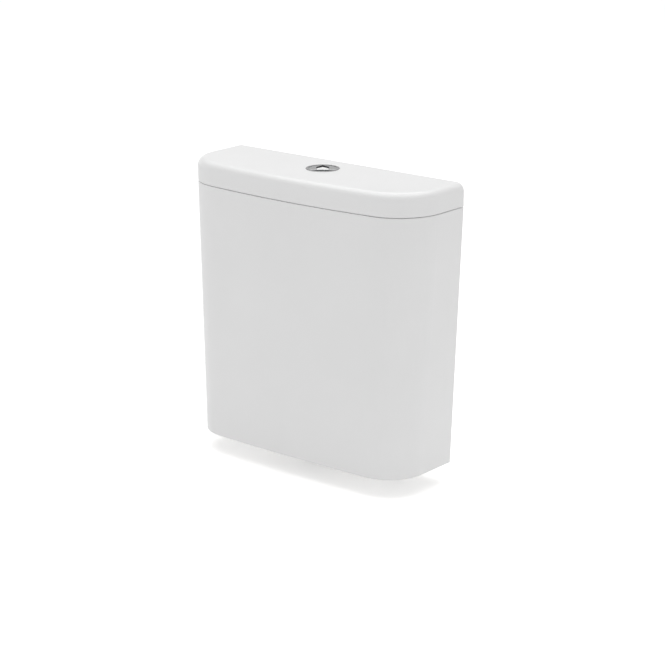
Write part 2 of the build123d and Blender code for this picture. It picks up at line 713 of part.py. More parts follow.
def coupling_seal():
    body = rod(COUPLING_SEAL_RADIUS, COUPLING_SEAL_RISE, RECESS_HEIGHT - BACKNUT_THICKNESS)
    body = chamfer(edges_at(body, COUPLING_SEAL_RISE), COUPLING_SEAL_TAPER)
    return body - rod(TAIL_RADIUS + SEAT_GAP, -OVERRUN, RECESS_HEIGHT)


# Moving column of the flush valve


def overflow_tube():
    bottom = SEAL_BOTTOM - RETAINER_THICKNESS
    return ring(OVERFLOW_RADIUS, OVERFLOW_RADIUS - OVERFLOW_WALL, bottom, OVERFLOW_TOP)


def on_overflow(radius, bottom, top):
    """Ring that sits on the overflow tube."""
    return ring(radius, OVERFLOW_RADIUS + SEAT_GAP, bottom, top)


def seal_retainer():
    body = rod(RETAINER_RADIUS, SEAL_BOTTOM - RETAINER_THICKNESS, SEAL_BOTTOM)
    body = chamfer(edges_at(body, SEAL_BOTTOM - RETAINER_THICKNESS), RETAINER_CHAMFER)
    return body - rod(OVERFLOW_RADIUS + SEAT_GAP, BASE_FLANGE_BOTTOM, SEAL_TOP)


def flush_seal():
    return on_overflow(FLUSH_SEAL_RADIUS, SEAL_BOTTOM, SEAL_TOP)


def seal_holder():
    plate_top = SEAL_TOP + SEAL_HOLDER_THICKNESS
    hub_top = SEAL_TOP + SEAL_HOLDER_HUB_HEIGHT
    rib_top = (plate_top + hub_top) / 2
    body = rod(SEAL_HOLDER_RADIUS, SEAL_TOP, plate_top)
    body += rod(SEAL_HOLDER_HUB_RADIUS, SEAL_TOP, hub_top)
    half = SEAL_HOLDER_RIB_WIDTH / 2
    rib = block(0, SEAL_HOLDER_RADIUS - SEAL_HOLDER_THICKNESS, -half, half, SEAL_TOP, rib_top)
    for arm in around(rib, SEAL_HOLDER_RIBS):
        body += arm
    return body - rod(OVERFLOW_RADIUS + SEAT_GAP, SEAL_BOTTOM, hub_top + OVERRUN)


def tube_float(bottom, height):
    """Round float clipped on the overflow tube by a collar."""
    top = bottom + height
    body = rod(FLOAT_RADIUS, bottom, top)
    body = fillet(body.edges().filter_by(GeomType.CIRCLE), FLOAT_ROUNDING)
    body += rod(FLOAT_COLLAR_RADIUS, top - OVERRUN, top + FLOAT_COLLAR_HEIGHT)
    return body - rod(OVERFLOW_RADIUS + SEAT_GAP, bottom - OVERRUN, OVERFLOW_TOP)


def lift_yoke():
    top, bottom = YOKE_TOP, YOKE_BOTTOM
    outside = YOKE_UPRIGHT_INSIDE + YOKE_UPRIGHT_THICKNESS
    half = YOKE_ARM_HALF_WIDTH
    finger_bottom = LEVER_PLANE + NOSE_RADIUS + CONTACT_GAP
    finger_top = finger_bottom + YOKE_FINGER_THICKNESS
    finger_tip = YOKE_UPRIGHT_INSIDE - YOKE_FINGER_REACH
    web = WEB_HALF_THICKNESS
    body = rod(YOKE_COLLAR_RADIUS, bottom, top)
    arm = block(-half, half, 0, outside, bottom, bottom + YOKE_ARM_THICKNESS)
    arm += block(-half, half, YOKE_UPRIGHT_INSIDE, outside, bottom, finger_top)
    arm += block(-web, web, finger_tip, outside, finger_bottom, finger_top)
    for side in around(arm, 2):
        body += side
    return body - rod(OVERFLOW_RADIUS + SEAT_GAP, bottom - OVERRUN, OVERFLOW_TOP)


# Tower, head, levers and axles


def tower_window(bottom, top):
    """Space between the tower's posts over one stretch of its height."""
    half = TOWER_POST_WIDTH / 2
    arm = block(0, TOWER_FOOT_RADIUS, -half, half, bottom, top)
    space = rod(TOWER_RADIUS + OVERRUN, bottom, top)
    for post in around(Rot(0, 0, TOWER_POST_TURN_DEG) * arm, TOWER_POSTS):
        space -= post
    return space


def flush_valve_tower():
    foot_top = CAGE_TOP + TOWER_FOOT_THICKNESS
    band_bottom = (foot_top + HEAD_RING_BOTTOM - TOWER_BAND_HEIGHT) / 2
    body = rod(TOWER_RADIUS, CAGE_TOP, HEAD_RING_BOTTOM)
    body -= tower_window(foot_top, band_bottom)
    body -= tower_window(band_bottom + TOWER_BAND_HEIGHT, HEAD_RING_BOTTOM + OVERRUN)
    body += rod(TOWER_FOOT_RADIUS, CAGE_TOP, foot_top)
    return body - rod(TOWER_BORE, CAGE_TOP - OVERRUN, HEAD_RING_BOTTOM + OVERRUN)


def flush_valve_head():
    bottom = HEAD_RING_BOTTOM
    ring_top = bottom + HEAD_RING_THICKNESS
    top = LEVER_PLANE + CHEEK_RISE
    outside = TOWER_RADIUS + HEAD_TAB_THICKNESS
    body = ring(outside, TOWER_BORE, bottom, ring_top)
    half = TOWER_POST_WIDTH / 2
    tabs = ring(outside, TOWER_RADIUS + SEAT_GAP, bottom - HEAD_TAB_DROP, ring_top)
    tab = tabs & block(0, outside + OVERRUN, -half, half, bottom - HEAD_TAB_DROP, ring_top)
    for clip in around(Rot(0, 0, TOWER_POST_TURN_DEG) * tab, TOWER_POSTS):
        body += clip
    cheek = block(
        CHEEK_INSIDE, CHEEK_INSIDE + CHEEK_THICKNESS, -outside, outside, bottom, top
    )
    for side in around(cheek & rod(outside, bottom, top), 2):
        body += side
    cross = CROSSBAR_HALF_WIDTH
    bar_top = bottom + CROSSBAR_THICKNESS
    body += block(-CHEEK_INSIDE, CHEEK_INSIDE, -cross, cross, bottom, bar_top)
    web = WEB_HALF_THICKNESS
    body += block(-web, web, -WEB_HALF_LENGTH, WEB_HALF_LENGTH, bottom, top)
    for side in (-1, 1):
        body -= lever_axle(side, AXLE_RADIUS + SEAT_GAP, OVERRUN)
    return body


def lever_axle(side, radius=AXLE_RADIUS, extra=0):
    """Axle of one rocker lever, from the middle web to the cheek on its side."""
    ends = sorted([-side * WEB_HALF_THICKNESS, side * (CHEEK_INSIDE + CHEEK_THICKNESS)])
    return cross_pin(radius, ends[0] - extra, ends[1] + extra, side * PIVOT_OFFSET, LEVER_PLANE)


def rocker_lever(side, nose_inside):
    """Lever that a push rod presses at one end and that rises at its nose."""
    inside = WEB_HALF_THICKNESS + LEVER_SIDE_GAP
    outside = inside + LEVER_WIDTH
    level = LEVER_PLANE
    high, low = level + LEVER_HALF_HEIGHT, level - LEVER_HALF_HEIGHT
    pad_end = ROD_OFFSET + LEVER_PAD_REACH
    body = block(inside, outside, PIVOT_OFFSET, pad_end, low, high)
    nose_high, nose_low = level + NOSE_RADIUS, level - NOSE_RADIUS
    body += block(inside, outside, -NOSE_OFFSET, PIVOT_OFFSET, nose_low, nose_high)
    body += cross_pin(LEVER_HUB_RADIUS, inside, outside, PIVOT_OFFSET, level)
    body += cross_pin(NOSE_RADIUS, nose_inside, outside, -NOSE_OFFSET, level)
    hole = AXLE_RADIUS + PIN_GAP
    body -= cross_pin(hole, inside - OVERRUN, outside + OVERRUN, PIVOT_OFFSET, level)
    return body if side > 0 else Rot(0, 0, 180) * body


def full_flush_lever():
    """Its nose reaches under the yoke's finger."""
    return rocker_lever(1, -WEB_HALF_THICKNESS)


def half_flush_lever():
    """Its nose stops beside the yoke's finger."""
    return rocker_lever(-1, WEB_HALF_THICKNESS + LEVER_SIDE_GAP)


# Fill valve


def fill_valve_shank():
    flange_top = INLET_FLANGE_BOTTOM + SHANK_FLANGE_THICKNESS
    riser_top = HEAD_BOTTOM + RISER_SOCKET_DEPTH
    free_top = SHANK_FREE_LENGTH - SHANK_REACH
    body = rod(SHANK_RADIUS, -SHANK_REACH, free_top, INLET_OFFSET)
    body += rod(SHANK_RADIUS - SHANK_RELIEF, free_top, INLET_FLANGE_BOTTOM, INLET_OFFSET)
    body += rod(SHANK_FLANGE_RADIUS, INLET_FLANGE_BOTTOM, flange_top, INLET_OFFSET)
    body += rod(RISER_RADIUS, flange_top, riser_top, INLET_OFFSET)
    return body - rod(SHANK_BORE_RADIUS, -SHANK_REACH - OVERRUN, riser_top + OVERRUN, INLET_OFFSET)


def inlet_washer(x):
    bore = SHANK_RADIUS + SEAT_GAP
    return ring(INLET_WASHER_RADIUS, bore, FLOOR_TOP, INLET_FLANGE_BOTTOM, x)


def friction_washer(x):
    bore = SHANK_RADIUS + SEAT_GAP
    return ring(INLET_WASHER_RADIUS, bore, RECESS_HEIGHT - FRICTION_WASHER_THICKNESS, RECESS_HEIGHT, x)


def inlet_nut(x):
    top = RECESS_HEIGHT - FRICTION_WASHER_THICKNESS
    bottom = top - INLET_NUT_THICKNESS
    bore = rod(SHANK_RADIUS + SEAT_GAP, bottom - OVERRUN, top + OVERRUN, x)
    return hexagon(INLET_NUT_FLATS, bottom, top, x) - bore


def inlet_filter():
    bottom = -SHANK_REACH + FILTER_WALL
    top = bottom + FILTER_HEIGHT
    radius = SHANK_BORE_RADIUS - SEAT_GAP
    body = rod(radius, bottom, top)
    body -= rod(radius - FILTER_WALL, bottom - OVERRUN, top - FILTER_WALL)
    half = FILTER_SLOT_WIDTH / 2
    slot = block(0, radius + OVERRUN, -half, half, bottom + FILTER_WALL, top - 2 * FILTER_WALL)
    for cut in around(slot, FILTER_SLOTS):
        body -= cut
    return Pos(INLET_OFFSET, 0, 0) * body


def refill_downtube():
    top = HEAD_BOTTOM + HEAD_SOCKET_DEPTH
    bore = DOWNTUBE_RADIUS - DOWNTUBE_WALL
    return ring(DOWNTUBE_RADIUS, bore, DOWNTUBE_BOTTOM, top, INLET_OFFSET)


def fill_valve_head():
    riser_top = HEAD_BOTTOM + RISER_SOCKET_DEPTH
    chamber_bottom = HEAD_TOP - CHAMBER_DEPTH
    socket_top = HEAD_BOTTOM + HEAD_SOCKET_DEPTH
    body = rod(HEAD_RADIUS, HEAD_BOTTOM, HEAD_TOP)
    body -= rod(RISER_RADIUS + SEAT_GAP, HEAD_BOTTOM - OVERRUN, riser_top)
    body -= rod(SHANK_BORE_RADIUS, HEAD_BOTTOM, HEAD_TOP)
    body -= rod(CHAMBER_RADIUS, chamber_bottom, HEAD_TOP + OVERRUN)
    socket_bore = DOWNTUBE_RADIUS - DOWNTUBE_WALL - SEAT_GAP
    socket = rod(DOWNTUBE_RADIUS + SEAT_GAP, HEAD_BOTTOM - OVERRUN, socket_top)
    body -= socket - rod(socket_bore, HEAD_BOTTOM - 2 * OVERRUN, socket_top + OVERRUN)
    port_place = (RISER_RADIUS + SEAT_GAP + socket_bore) / 2
    port = rod(PORT_RADIUS, HEAD_BOTTOM - OVERRUN, chamber_bottom + OVERRUN, port_place)
    for cut in around(port, PORT_COUNT):
        body -= cut
    return Pos(INLET_OFFSET, 0, 0) * body


def diaphragm():
    top = HEAD_TOP + DIAPHRAGM_THICKNESS
    body = rod(DIAPHRAGM_RADIUS, HEAD_TOP, top, INLET_OFFSET)
    boss_bottom = HEAD_TOP - DIAPHRAGM_BOSS_HEIGHT
    return body + rod(DIAPHRAGM_BOSS_RADIUS, boss_bottom, HEAD_TOP, INLET_OFFSET)


def fill_valve_cap():
    skirt_bore = HEAD_RADIUS + SEAT_GAP
    skirt_bottom = HEAD_TOP - CAP_SKIRT
    diaphragm_top = HEAD_TOP + DIAPHRAGM_THICKNESS
    body = rod(skirt_bore + CAP_WALL, skirt_bottom, CAP_TOP)
    body -= rod(skirt_bore, skirt_bottom - OVERRUN, HEAD_TOP)
    body -= rod(DIAPHRAGM_RADIUS + SEAT_GAP, skirt_bottom, diaphragm_top)
    body -= rod(CAP_DOME_RADIUS, skirt_bottom, CAP_TOP - CAP_ROOF)
    body += rod(NOZZLE_RADIUS, CAP_TOP - CAP_ROOF, NOZZLE_TOP)
    body -= rod(NOZZLE_BORE_RADIUS, skirt_bottom, NOZZLE_TOP + OVERRUN)
    inside = FILL_LEVER_WIDTH / 2 + LEVER_SIDE_GAP
    outside = inside + FILL_CHEEK_THICKNESS
    left = -FILL_PIVOT_OFFSET - FILL_CHEEK_HALF_LENGTH
    right = -FILL_PIVOT_OFFSET + FILL_CHEEK_HALF_LENGTH
    top = FILL_PIVOT_LEVEL + FILL_CHEEK_RISE
    cheek = block(left, right, inside, outside, CAP_TOP - CAP_ROOF, top)
    body += cheek + mirror(cheek, about=Plane.XZ)
    body = Pos(INLET_OFFSET, 0, 0) * body
    return body - float_lever_pin(FILL_PIN_RADIUS + SEAT_GAP, OVERRUN)


def float_lever_pin(radius=FILL_PIN_RADIUS, extra=0):
    end = FILL_LEVER_WIDTH / 2 + LEVER_SIDE_GAP + FILL_CHEEK_THICKNESS + extra
    return fore_pin(radius, -end, end, FILL_PIVOT_X, FILL_PIVOT_LEVEL)


def with_float_down(shape):
    """Turn a piece of the float lever from its level, shut place to where the float hangs."""
    pivot = Pos(FILL_PIVOT_X, 0, FILL_PIVOT_LEVEL)
    return pivot * Rot(0, -FILL_SWING_DEG, 0) * pivot.inverse() * shape


def pilot_seal_pocket(radius, depth):
    """Round space that opens at the lever's underside, over the cap's nozzle."""
    underside = FILL_PIVOT_LEVEL - FILL_LEVER_HALF_HEIGHT
    return rod(radius, underside - OVERRUN, underside + depth, INLET_OFFSET)


def float_lever():
    half = FILL_LEVER_WIDTH / 2
    low = FILL_PIVOT_LEVEL - FILL_LEVER_HALF_HEIGHT
    high = FILL_PIVOT_LEVEL + FILL_LEVER_HALF_HEIGHT
    left = FILL_PIVOT_X - SLOT_CENTRE - FLOAT_ARM_END
    right = INLET_OFFSET + FILL_LEVER_TAIL
    body = block(left, right, -half, half, low, high)
    ends = half + OVERRUN
    body -= fore_pin(FILL_PIN_RADIUS + PIN_GAP, -ends, ends, FILL_PIVOT_X, FILL_PIVOT_LEVEL)
    slot_half = HANGER_PIN_RADIUS + CONTACT_GAP
    slot_x = FILL_PIVOT_X - SLOT_CENTRE
    for side in (-1, 1):
        end_x = slot_x + side * SLOT_HALF_LENGTH
        body -= fore_pin(slot_half, -ends, ends, end_x, FILL_PIVOT_LEVEL)
    slot_low, slot_high = FILL_PIVOT_LEVEL - slot_half, FILL_PIVOT_LEVEL + slot_half
    slot_left, slot_right = slot_x - SLOT_HALF_LENGTH, slot_x + SLOT_HALF_LENGTH
    body -= block(slot_left, slot_right, -ends, ends, slot_low, slot_high)
    body -= pilot_seal_pocket(PILOT_SEAL_RADIUS + SEAT_GAP, PILOT_SEAL_SUNK)
    return with_float_down(body)


def pilot_seal():
    top = FILL_PIVOT_LEVEL - FILL_LEVER_HALF_HEIGHT + PILOT_SEAL_SUNK
    return with_float_down(rod(PILOT_SEAL_RADIUS, top - PILOT_SEAL_THICKNESS, top, INLET_OFFSET))


def float_hanger():
    inside = FILL_LEVER_WIDTH / 2 + LEVER_SIDE_GAP
    outside = inside + HANGER_EAR_THICKNESS
    left, right = HANGER_X - HANGER_HALF_LENGTH, HANGER_X + HANGER_HALF_LENGTH
    top = HANGER_PIN_LEVEL + HANGER_EAR_RISE
    body = block(left, right, -outside, outside, HANGER_BASE_BOTTOM, top)
    body -= block(left - OVERRUN, right + OVERRUN, -inside, inside, HANGER_BASE_TOP, top + OVERRUN)
    body -= rod(SCREW_NECK_RADIUS + PIN_GAP, HANGER_BASE_BOTTOM - OVERRUN, top, HANGER_X)
    return body - float_hanger_pin(HANGER_PIN_RADIUS + SEAT_GAP, OVERRUN)


def float_hanger_pin(radius=HANGER_PIN_RADIUS, extra=0):
    end = FILL_LEVER_WIDTH / 2 + LEVER_SIDE_GAP + HANGER_EAR_THICKNESS + extra
    return fore_pin(radius, -end, end, HANGER_X, HANGER_PIN_LEVEL)


def level_screw():
    head_bottom = HANGER_BASE_TOP + SLIDE_GAP
    knob_top = HANGER_BASE_BOTTOM - SLIDE_GAP
    knob_bottom = knob_top - SCREW_KNOB_HEIGHT
    body = rod(SCREW_KNOB_RADIUS, knob_bottom, knob_top)
    flute = rod(SCREW_KNOB_FLUTE_RADIUS, knob_bottom - OVERRUN, knob_top + OVERRUN, SCREW_KNOB_RADIUS)
    for cut in around(flute, SCREW_KNOB_FLUTES):
        body -= cut
    body += rod(SCREW_NECK_RADIUS, knob_top, head_bottom)
    body += rod(SCREW_HEAD_RADIUS, head_bottom, head_bottom + SCREW_HEAD_THICKNESS)
    body += rod(SCREW_RADIUS, knob_bottom - SCREW_LENGTH, knob_bottom)
    return Pos(HANGER_X, 0, 0) * body


def float_cup():
    top = CUP_BOTTOM + CUP_HEIGHT
    bore = DOWNTUBE_RADIUS + CUP_GUIDE_GAP
    body = rod(CUP_RADIUS, CUP_BOTTOM, top)
    body = fillet(edges_at(body, top), CUP_ROUNDING)
    air = rod(CUP_RADIUS - CUP_WALL, CUP_BOTTOM - OVERRUN, top - CUP_WALL)
    body -= air - rod(bore + CUP_WALL, CUP_BOTTOM - 2 * OVERRUN, top)
    body -= rod(bore, CUP_BOTTOM - OVERRUN, top + OVERRUN)
    body = Pos(INLET_OFFSET, 0, 0) * body
    lug_bottom = top - CUP_LUG_HEIGHT - CUP_ROUNDING
    lug_top = top - CUP_ROUNDING
    wall_x = INLET_OFFSET - CUP_RADIUS + CUP_WALL / 2
    half = CUP_LUG_HALF_WIDTH
    body += block(HANGER_X, wall_x, -half, half, lug_bottom, lug_top)
    body += rod(CUP_LUG_RADIUS, lug_bottom, lug_top, HANGER_X)
    return body - rod(SCREW_RADIUS + SLIDE_GAP, lug_bottom - OVERRUN, lug_top + OVERRUN, HANGER_X)


# Blanking plug, coupling bolts and their washers and nuts


def blanking_plug():
    flange_top = INLET_FLANGE_BOTTOM + SHANK_FLANGE_THICKNESS
    bottom = RECESS_HEIGHT - PLUG_REACH
    body = rod(SHANK_FLANGE_RADIUS, INLET_FLANGE_BOTTOM, flange_top)
    dome_top = flange_top + PLUG_DOME_HEIGHT
    body += rod(SHANK_FLANGE_RADIUS * PLUG_DOME_SHARE, flange_top, dome_top)
    body += rod(SHANK_RADIUS, bottom, INLET_FLANGE_BOTTOM)
    body -= rod(PLUG_BORE_RADIUS, bottom - OVERRUN, INLET_FLANGE_BOTTOM)
    return Pos(-INLET_OFFSET, 0, 0) * body


def steel_washer(x, bottom):
    return ring(STEEL_WASHER_RADIUS, STEEL_WASHER_BORE, bottom, bottom + STEEL_WASHER_THICKNESS, x)


def cone_washer(x):
    top = FLOOR_TOP + CONE_WASHER_THICKNESS
    body = rod(CONE_WASHER_RADIUS, FLOOR_TOP, top)
    body = chamfer(edges_at(body, top), CONE_WASHER_CHAMFER)
    body += rod(CONE_WASHER_TIP_RADIUS, FLOOR_TOP - CONE_WASHER_SUNK, FLOOR_TOP)
    body -= rod(STEEL_WASHER_BORE, RECESS_HEIGHT, top + OVERRUN)
    return Pos(x, 0, 0) * body


def coupling_bolt(x):
    head_bottom = FLOOR_TOP + CONE_WASHER_THICKNESS + STEEL_WASHER_THICKNESS
    head_top = head_bottom + BOLT_HEAD_HEIGHT
    thread_top = BOLT_THREAD_LENGTH - BOLT_REACH
    body = rod(BOLT_RADIUS, -BOLT_REACH, thread_top)
    body += rod(BOLT_SHANK_RADIUS, thread_top, head_bottom)
    body += hexagon(BOLT_HEAD_FLATS, head_bottom, head_top)
    half = BOLT_SLOT_WIDTH / 2
    slot_bottom = head_top - BOLT_SLOT_DEPTH
    body -= block(-BOLT_HEAD_FLATS, BOLT_HEAD_FLATS, -half, half, slot_bottom, head_top + OVERRUN)
    return Pos(x, 0, 0) * body


def coupling_nut(x):
    top = RECESS_HEIGHT - STEEL_WASHER_THICKNESS
    bottom = top - BOLT_NUT_THICKNESS
    bore = rod(BOLT_RADIUS + SEAT_GAP, bottom - OVERRUN, top + OVERRUN, x)
    return hexagon(BOLT_NUT_FLATS, bottom, top, x) - bore


def main():
    write("cistern_tank", cistern_tank())
    write("cistern_lid", cistern_lid())

    write("button_bezel", turned(button_bezel()))
    write("button_barrel", turned(button_barrel()))
    write("button_gasket", turned(button_gasket()))
    write("button_barrel_nut", turned(button_barrel_nut()))
    write("full_flush_button", turned(full_flush_button()))
    write("half_flush_button", turned(half_flush_button()))
    write("full_flush_push_rod", turned(push_rod(1)))
    write("half_flush_push_rod", turned(push_rod(-1)))
    write("full_flush_return_spring", turned(return_spring(1)))
    write("half_flush_return_spring", turned(return_spring(-1)))
    print(f"return spring: least gap to itself {spring_gap():.2f} mm")

    write("flush_valve_base", turned(flush_valve_base()))
    write("flush_valve_washer", flush_valve_washer())
    write("flush_valve_backnut", turned(flush_valve_backnut()))
    write("coupling_seal", coupling_seal())
    write("flush_valve_tower", turned(flush_valve_tower()))
    write("flush_valve_head", turned(flush_valve_head()))
    write("full_flush_lever", turned(full_flush_lever()))
    write("half_flush_lever", turned(half_flush_lever()))
    write("lever_axles", turned(lever_axle(1)), turned(lever_axle(-1)))

    full_float_bottom = CAGE_TOP + FLOATS_FREE_LENGTH * FULL_FLOAT_GAP_SHARE
    full_float_top = full_float_bottom + FULL_FLOAT_HEIGHT + FLOAT_COLLAR_HEIGHT
    half_float_bottom = full_float_top + FLOATS_FREE_LENGTH * HALF_FLOAT_GAP_SHARE
    write("overflow_tube", overflow_tube())
    write("seal_retainer", seal_retainer())
    write("flush_seal", flush_seal())
    write("seal_holder", turned(seal_holder()))
    write("full_flush_float", tube_float(full_float_bottom, FULL_FLOAT_HEIGHT))
    write("half_flush_float", tube_float(half_float_bottom, HALF_FLOAT_HEIGHT))
    write("lift_yoke", turned(lift_yoke()))

    write("fill_valve_shank", fill_valve_shank())
    write("inlet_filter", inlet_filter())
    write("refill_downtube", refill_downtube())
    write("fill_valve_head", fill_valve_head())
    write("diaphragm", diaphragm())
    write("fill_valve_cap", fill_valve_cap())
    write("float_lever_pin", float_lever_pin())
    write("float_lever", float_lever())
    write("pilot_seal", pilot_seal())
    write("float_hanger", float_hanger())
    write("float_hanger_pin", float_hanger_pin())
    write("level_screw", level_screw())
    write("float_cup", float_cup())

    inlets = (-INLET_OFFSET, INLET_OFFSET)
    bolts = (-BOLT_SPACING / 2, BOLT_SPACING / 2)
    above = FLOOR_TOP + CONE_WASHER_THICKNESS
    below = RECESS_HEIGHT - STEEL_WASHER_THICKNESS
    write("blanking_plug", blanking_plug())
    write("inlet_washers", *[inlet_washer(x) for x in inlets])
    write("friction_washers", *[friction_washer(x) for x in inlets])
    write("inlet_nuts", *[inlet_nut(x) for x in inlets])
    write("coupling_bolts", *[coupling_bolt(x) for x in bolts])
    write("cone_washers", *[cone_washer(x) for x in bolts])
    write("steel_washers", *[steel_washer(x, level) for x in bolts for level in (above, below)])
    write("coupling_nuts", *[coupling_nut(x) for x in bolts])


main()
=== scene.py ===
import json
import math

import bmesh
import bpy
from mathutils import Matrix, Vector


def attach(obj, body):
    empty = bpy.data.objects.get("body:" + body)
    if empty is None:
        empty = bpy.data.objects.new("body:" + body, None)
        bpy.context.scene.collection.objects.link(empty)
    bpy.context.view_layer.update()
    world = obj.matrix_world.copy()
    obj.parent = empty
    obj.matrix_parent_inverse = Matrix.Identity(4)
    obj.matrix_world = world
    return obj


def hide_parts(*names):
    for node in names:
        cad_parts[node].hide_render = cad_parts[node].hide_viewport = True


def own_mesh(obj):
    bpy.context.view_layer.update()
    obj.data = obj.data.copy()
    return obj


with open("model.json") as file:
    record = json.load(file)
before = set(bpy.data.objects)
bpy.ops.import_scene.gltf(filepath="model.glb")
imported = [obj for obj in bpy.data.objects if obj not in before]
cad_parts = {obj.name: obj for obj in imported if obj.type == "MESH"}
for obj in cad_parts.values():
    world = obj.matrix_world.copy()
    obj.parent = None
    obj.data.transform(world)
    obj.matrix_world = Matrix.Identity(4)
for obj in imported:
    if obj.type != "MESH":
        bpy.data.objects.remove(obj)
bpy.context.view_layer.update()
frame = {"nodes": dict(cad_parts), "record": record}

# The button and its push rods' springs, as in the part's source, in metres
BUTTON_TURN = math.radians(39.6)
BUTTON_TOP = 0.3913
SPLIT_OFFSET = 0.0105
ROD_OFFSET = 0.013
ROD_SIDE = 0.0045
SPRING_SEAT = 0.358
SPRING_TOP = 0.3838
SPRING_RADIUS = 0.0029
SPRING_TURNS = 8
END_TURNS = 1.5
CLOSED_PITCH_SHARE = 2.2
WIRE_RADIUS = 0.00035
WIRE_SIDES = 10
STEPS_PER_TURN = 28

# Levels and shares that the finishes turn on
BISCUIT_TOP = 0.0009
DISH_SKIN = 0.0001
THREAD_CORE_SHARE = 0.95
PLASTIC_THREAD_DEPTH = 0.0008
METAL_THREAD_DEPTH = 0.0005

# Tones
GLAZE = ((0.832, 0.832, 0.832, 1), (0.85, 0.85, 0.85, 1))
BISCUIT = ((0.62, 0.58, 0.51, 1), (0.72, 0.69, 0.63, 1))
PLATING = ((0.66, 0.665, 0.67, 1), (0.74, 0.745, 0.75, 1))
# painted highlight: a near-white plating tone for the sunken finger dish
DISH_PAINTED_HIGHLIGHT = (0.93, 0.93, 0.93, 1)
# painted shade: a near-black tone given to steep plated faces
STEEP_PAINTED_SHADE = (0.07, 0.07, 0.072, 1)
FOAM = ((0.80, 0.785, 0.74, 1), (0.90, 0.89, 0.85, 1))
WHITE = (0.80, 0.80, 0.785)
GREY = (0.36, 0.38, 0.40)
BLUE = (0.05, 0.19, 0.50)
AMBER = (0.78, 0.50, 0.08)
BRASS = (0.70, 0.50, 0.22)
STEEL = (0.56, 0.56, 0.55)
SPRING_STEEL = (0.50, 0.50, 0.50)
SOOT = (0.030, 0.030, 0.032)
BLOOM = (0.085, 0.085, 0.088)
SILICONE = (0.50, 0.09, 0.06)
SILICONE_DUST = (0.58, 0.20, 0.16)
FLOOR_TONE = (0.86, 0.86, 0.86, 1)

# Floor, room, lamps and camera
FLOOR_LEVEL = -0.0265
FLOOR_REACH = 7.0
FLOOR_GLOW = 0.2
FLOOR_GLOW_SEEN = 0.5
ROOM_LIGHT = 0.58
MIRRORED_ROOM = ((0.0, 1.3), (0.1, 1.25), (0.16, 0.5), (0.4, 0.55), (0.7, 0.95), (1.0, 0.95))
LAMP_AIM = (0, 0, 0.2)
EYE = (1.79193, -2.14168, 0.99076)
AIM = (0.03045, -0.01613, 0.17025)
LENS = 114.70
SENSOR_WIDTH = 36.0
FAR_CLIP = 50.0


# Helpers for shader nodes


def set_input(tree, socket, value):
    """Links a socket to an output, or gives it a plain value."""
    if isinstance(value, bpy.types.NodeSocket):
        tree.links.new(value, socket)
    else:
        socket.default_value = value


def add(tree, kind, inputs=None, **settings):
    """A shader node with its settings and its inputs, by name or by number."""
    made = tree.nodes.new("ShaderNode" + kind)
    for name, value in settings.items():
        setattr(made, name, value)
    for key, value in (inputs or {}).items():
        set_input(tree, made.inputs[key], value)
    return made


def maths(tree, operation, first, second=0.0):
    return add(tree, "Math", {0: first, 1: second}, operation=operation).outputs[0]


def place(tree):
    """The point on the surface in the shared frame, in metres."""
    return add(tree, "TexCoord").outputs["Object"]


def noise(tree, scale, detail=3.0, stretch=(1, 1, 1)):
    scaled = add(tree, "VectorMath", {0: place(tree), 1: stretch}, operation="MULTIPLY")
    made = add(tree, "TexNoise", {"Vector": scaled.outputs[0], "Scale": scale, "Detail": detail})
    return made.outputs["Fac"]


def spread(tree, value, low, high, start=0.3, end=0.7):
    """Maps a value between start and end to one between low and high."""
    inputs = {"Value": value, "From Min": start, "From Max": end, "To Min": low, "To Max": high}
    return add(tree, "MapRange", inputs).outputs["Result"]


def mixed(tree, share, first, second):
    made = add(tree, "Mix", {0: share, 6: first, 7: second}, data_type="RGBA")
    return made.outputs[2]


def shade(colour, factor):
    return tuple(min(1.0, part * factor) for part in colour) + (1.0,)


def bump(tree, height, distance, strength=1.0, under=None):
    inputs = {"Height": height, "Distance": distance, "Strength": strength}
    if under is not None:
        inputs["Normal"] = under
    return add(tree, "Bump", inputs).outputs["Normal"]


def begin(name, metallic=0.0, coat=0.0, coat_roughness=0.05, ior=1.5):
    """A new material, its tree and its shader, with the plain values set on the shader."""
    material = bpy.data.materials.new(name)
    material.use_nodes = True
    tree = material.node_tree
    shader = tree.nodes["Principled BSDF"]
    shader.inputs["Metallic"].default_value = metallic
    shader.inputs["Coat Weight"].default_value = coat
    shader.inputs["Coat Roughness"].default_value = coat_roughness
    shader.inputs["IOR"].default_value = ior
    return material, tree, shader


def finish_shader(tree, shader, colour, roughness, normal):
    set_input(tree, shader.inputs["Base Color"], colour)
    set_input(tree, shader.inputs["Roughness"], roughness)
    set_input(tree, shader.inputs["Normal"], normal)


def screw_thread(tree, x, radius, pitch, low, high, pair=False):
    """Height of a thread on an upright cylinder at x, or on one at x and one at -x."""
    axes = add(tree, "SeparateXYZ", {0: place(tree)})
    across, along, level = axes.outputs[0], axes.outputs[1], axes.outputs[2]
    centre = maths(tree, "MULTIPLY", maths(tree, "SIGN", across), x) if pair else x
    across = maths(tree, "SUBTRACT", across, centre)
    angle = maths(tree, "DIVIDE", maths(tree, "ARCTAN2", along, across), 2 * math.pi)
    turn = maths(tree, "SUBTRACT", maths(tree, "DIVIDE", level, pitch), angle)
    ridge = maths(tree, "MULTIPLY", maths(tree, "PINGPONG", turn, 0.5), 2.0)
    squares = maths(
        tree, "ADD", maths(tree, "POWER", across, 2.0), maths(tree, "POWER", along, 2.0)
    )
    outside = maths(tree, "GREATER_THAN", maths(tree, "SQRT", squares), radius * THREAD_CORE_SHARE)
    above = maths(tree, "GREATER_THAN", level, low)
    below = maths(tree, "LESS_THAN", level, high)
    within = maths(tree, "MULTIPLY", outside, maths(tree, "MULTIPLY", above, below))
    return maths(tree, "MULTIPLY", ridge, within)


def thread_of(x, radius, pitch, low, high, pair=False):
    """The values of one thread, as screw_thread takes them."""
    return {"x": x, "radius": radius, "pitch": pitch, "low": low, "high": high, "pair": pair}


# Materials


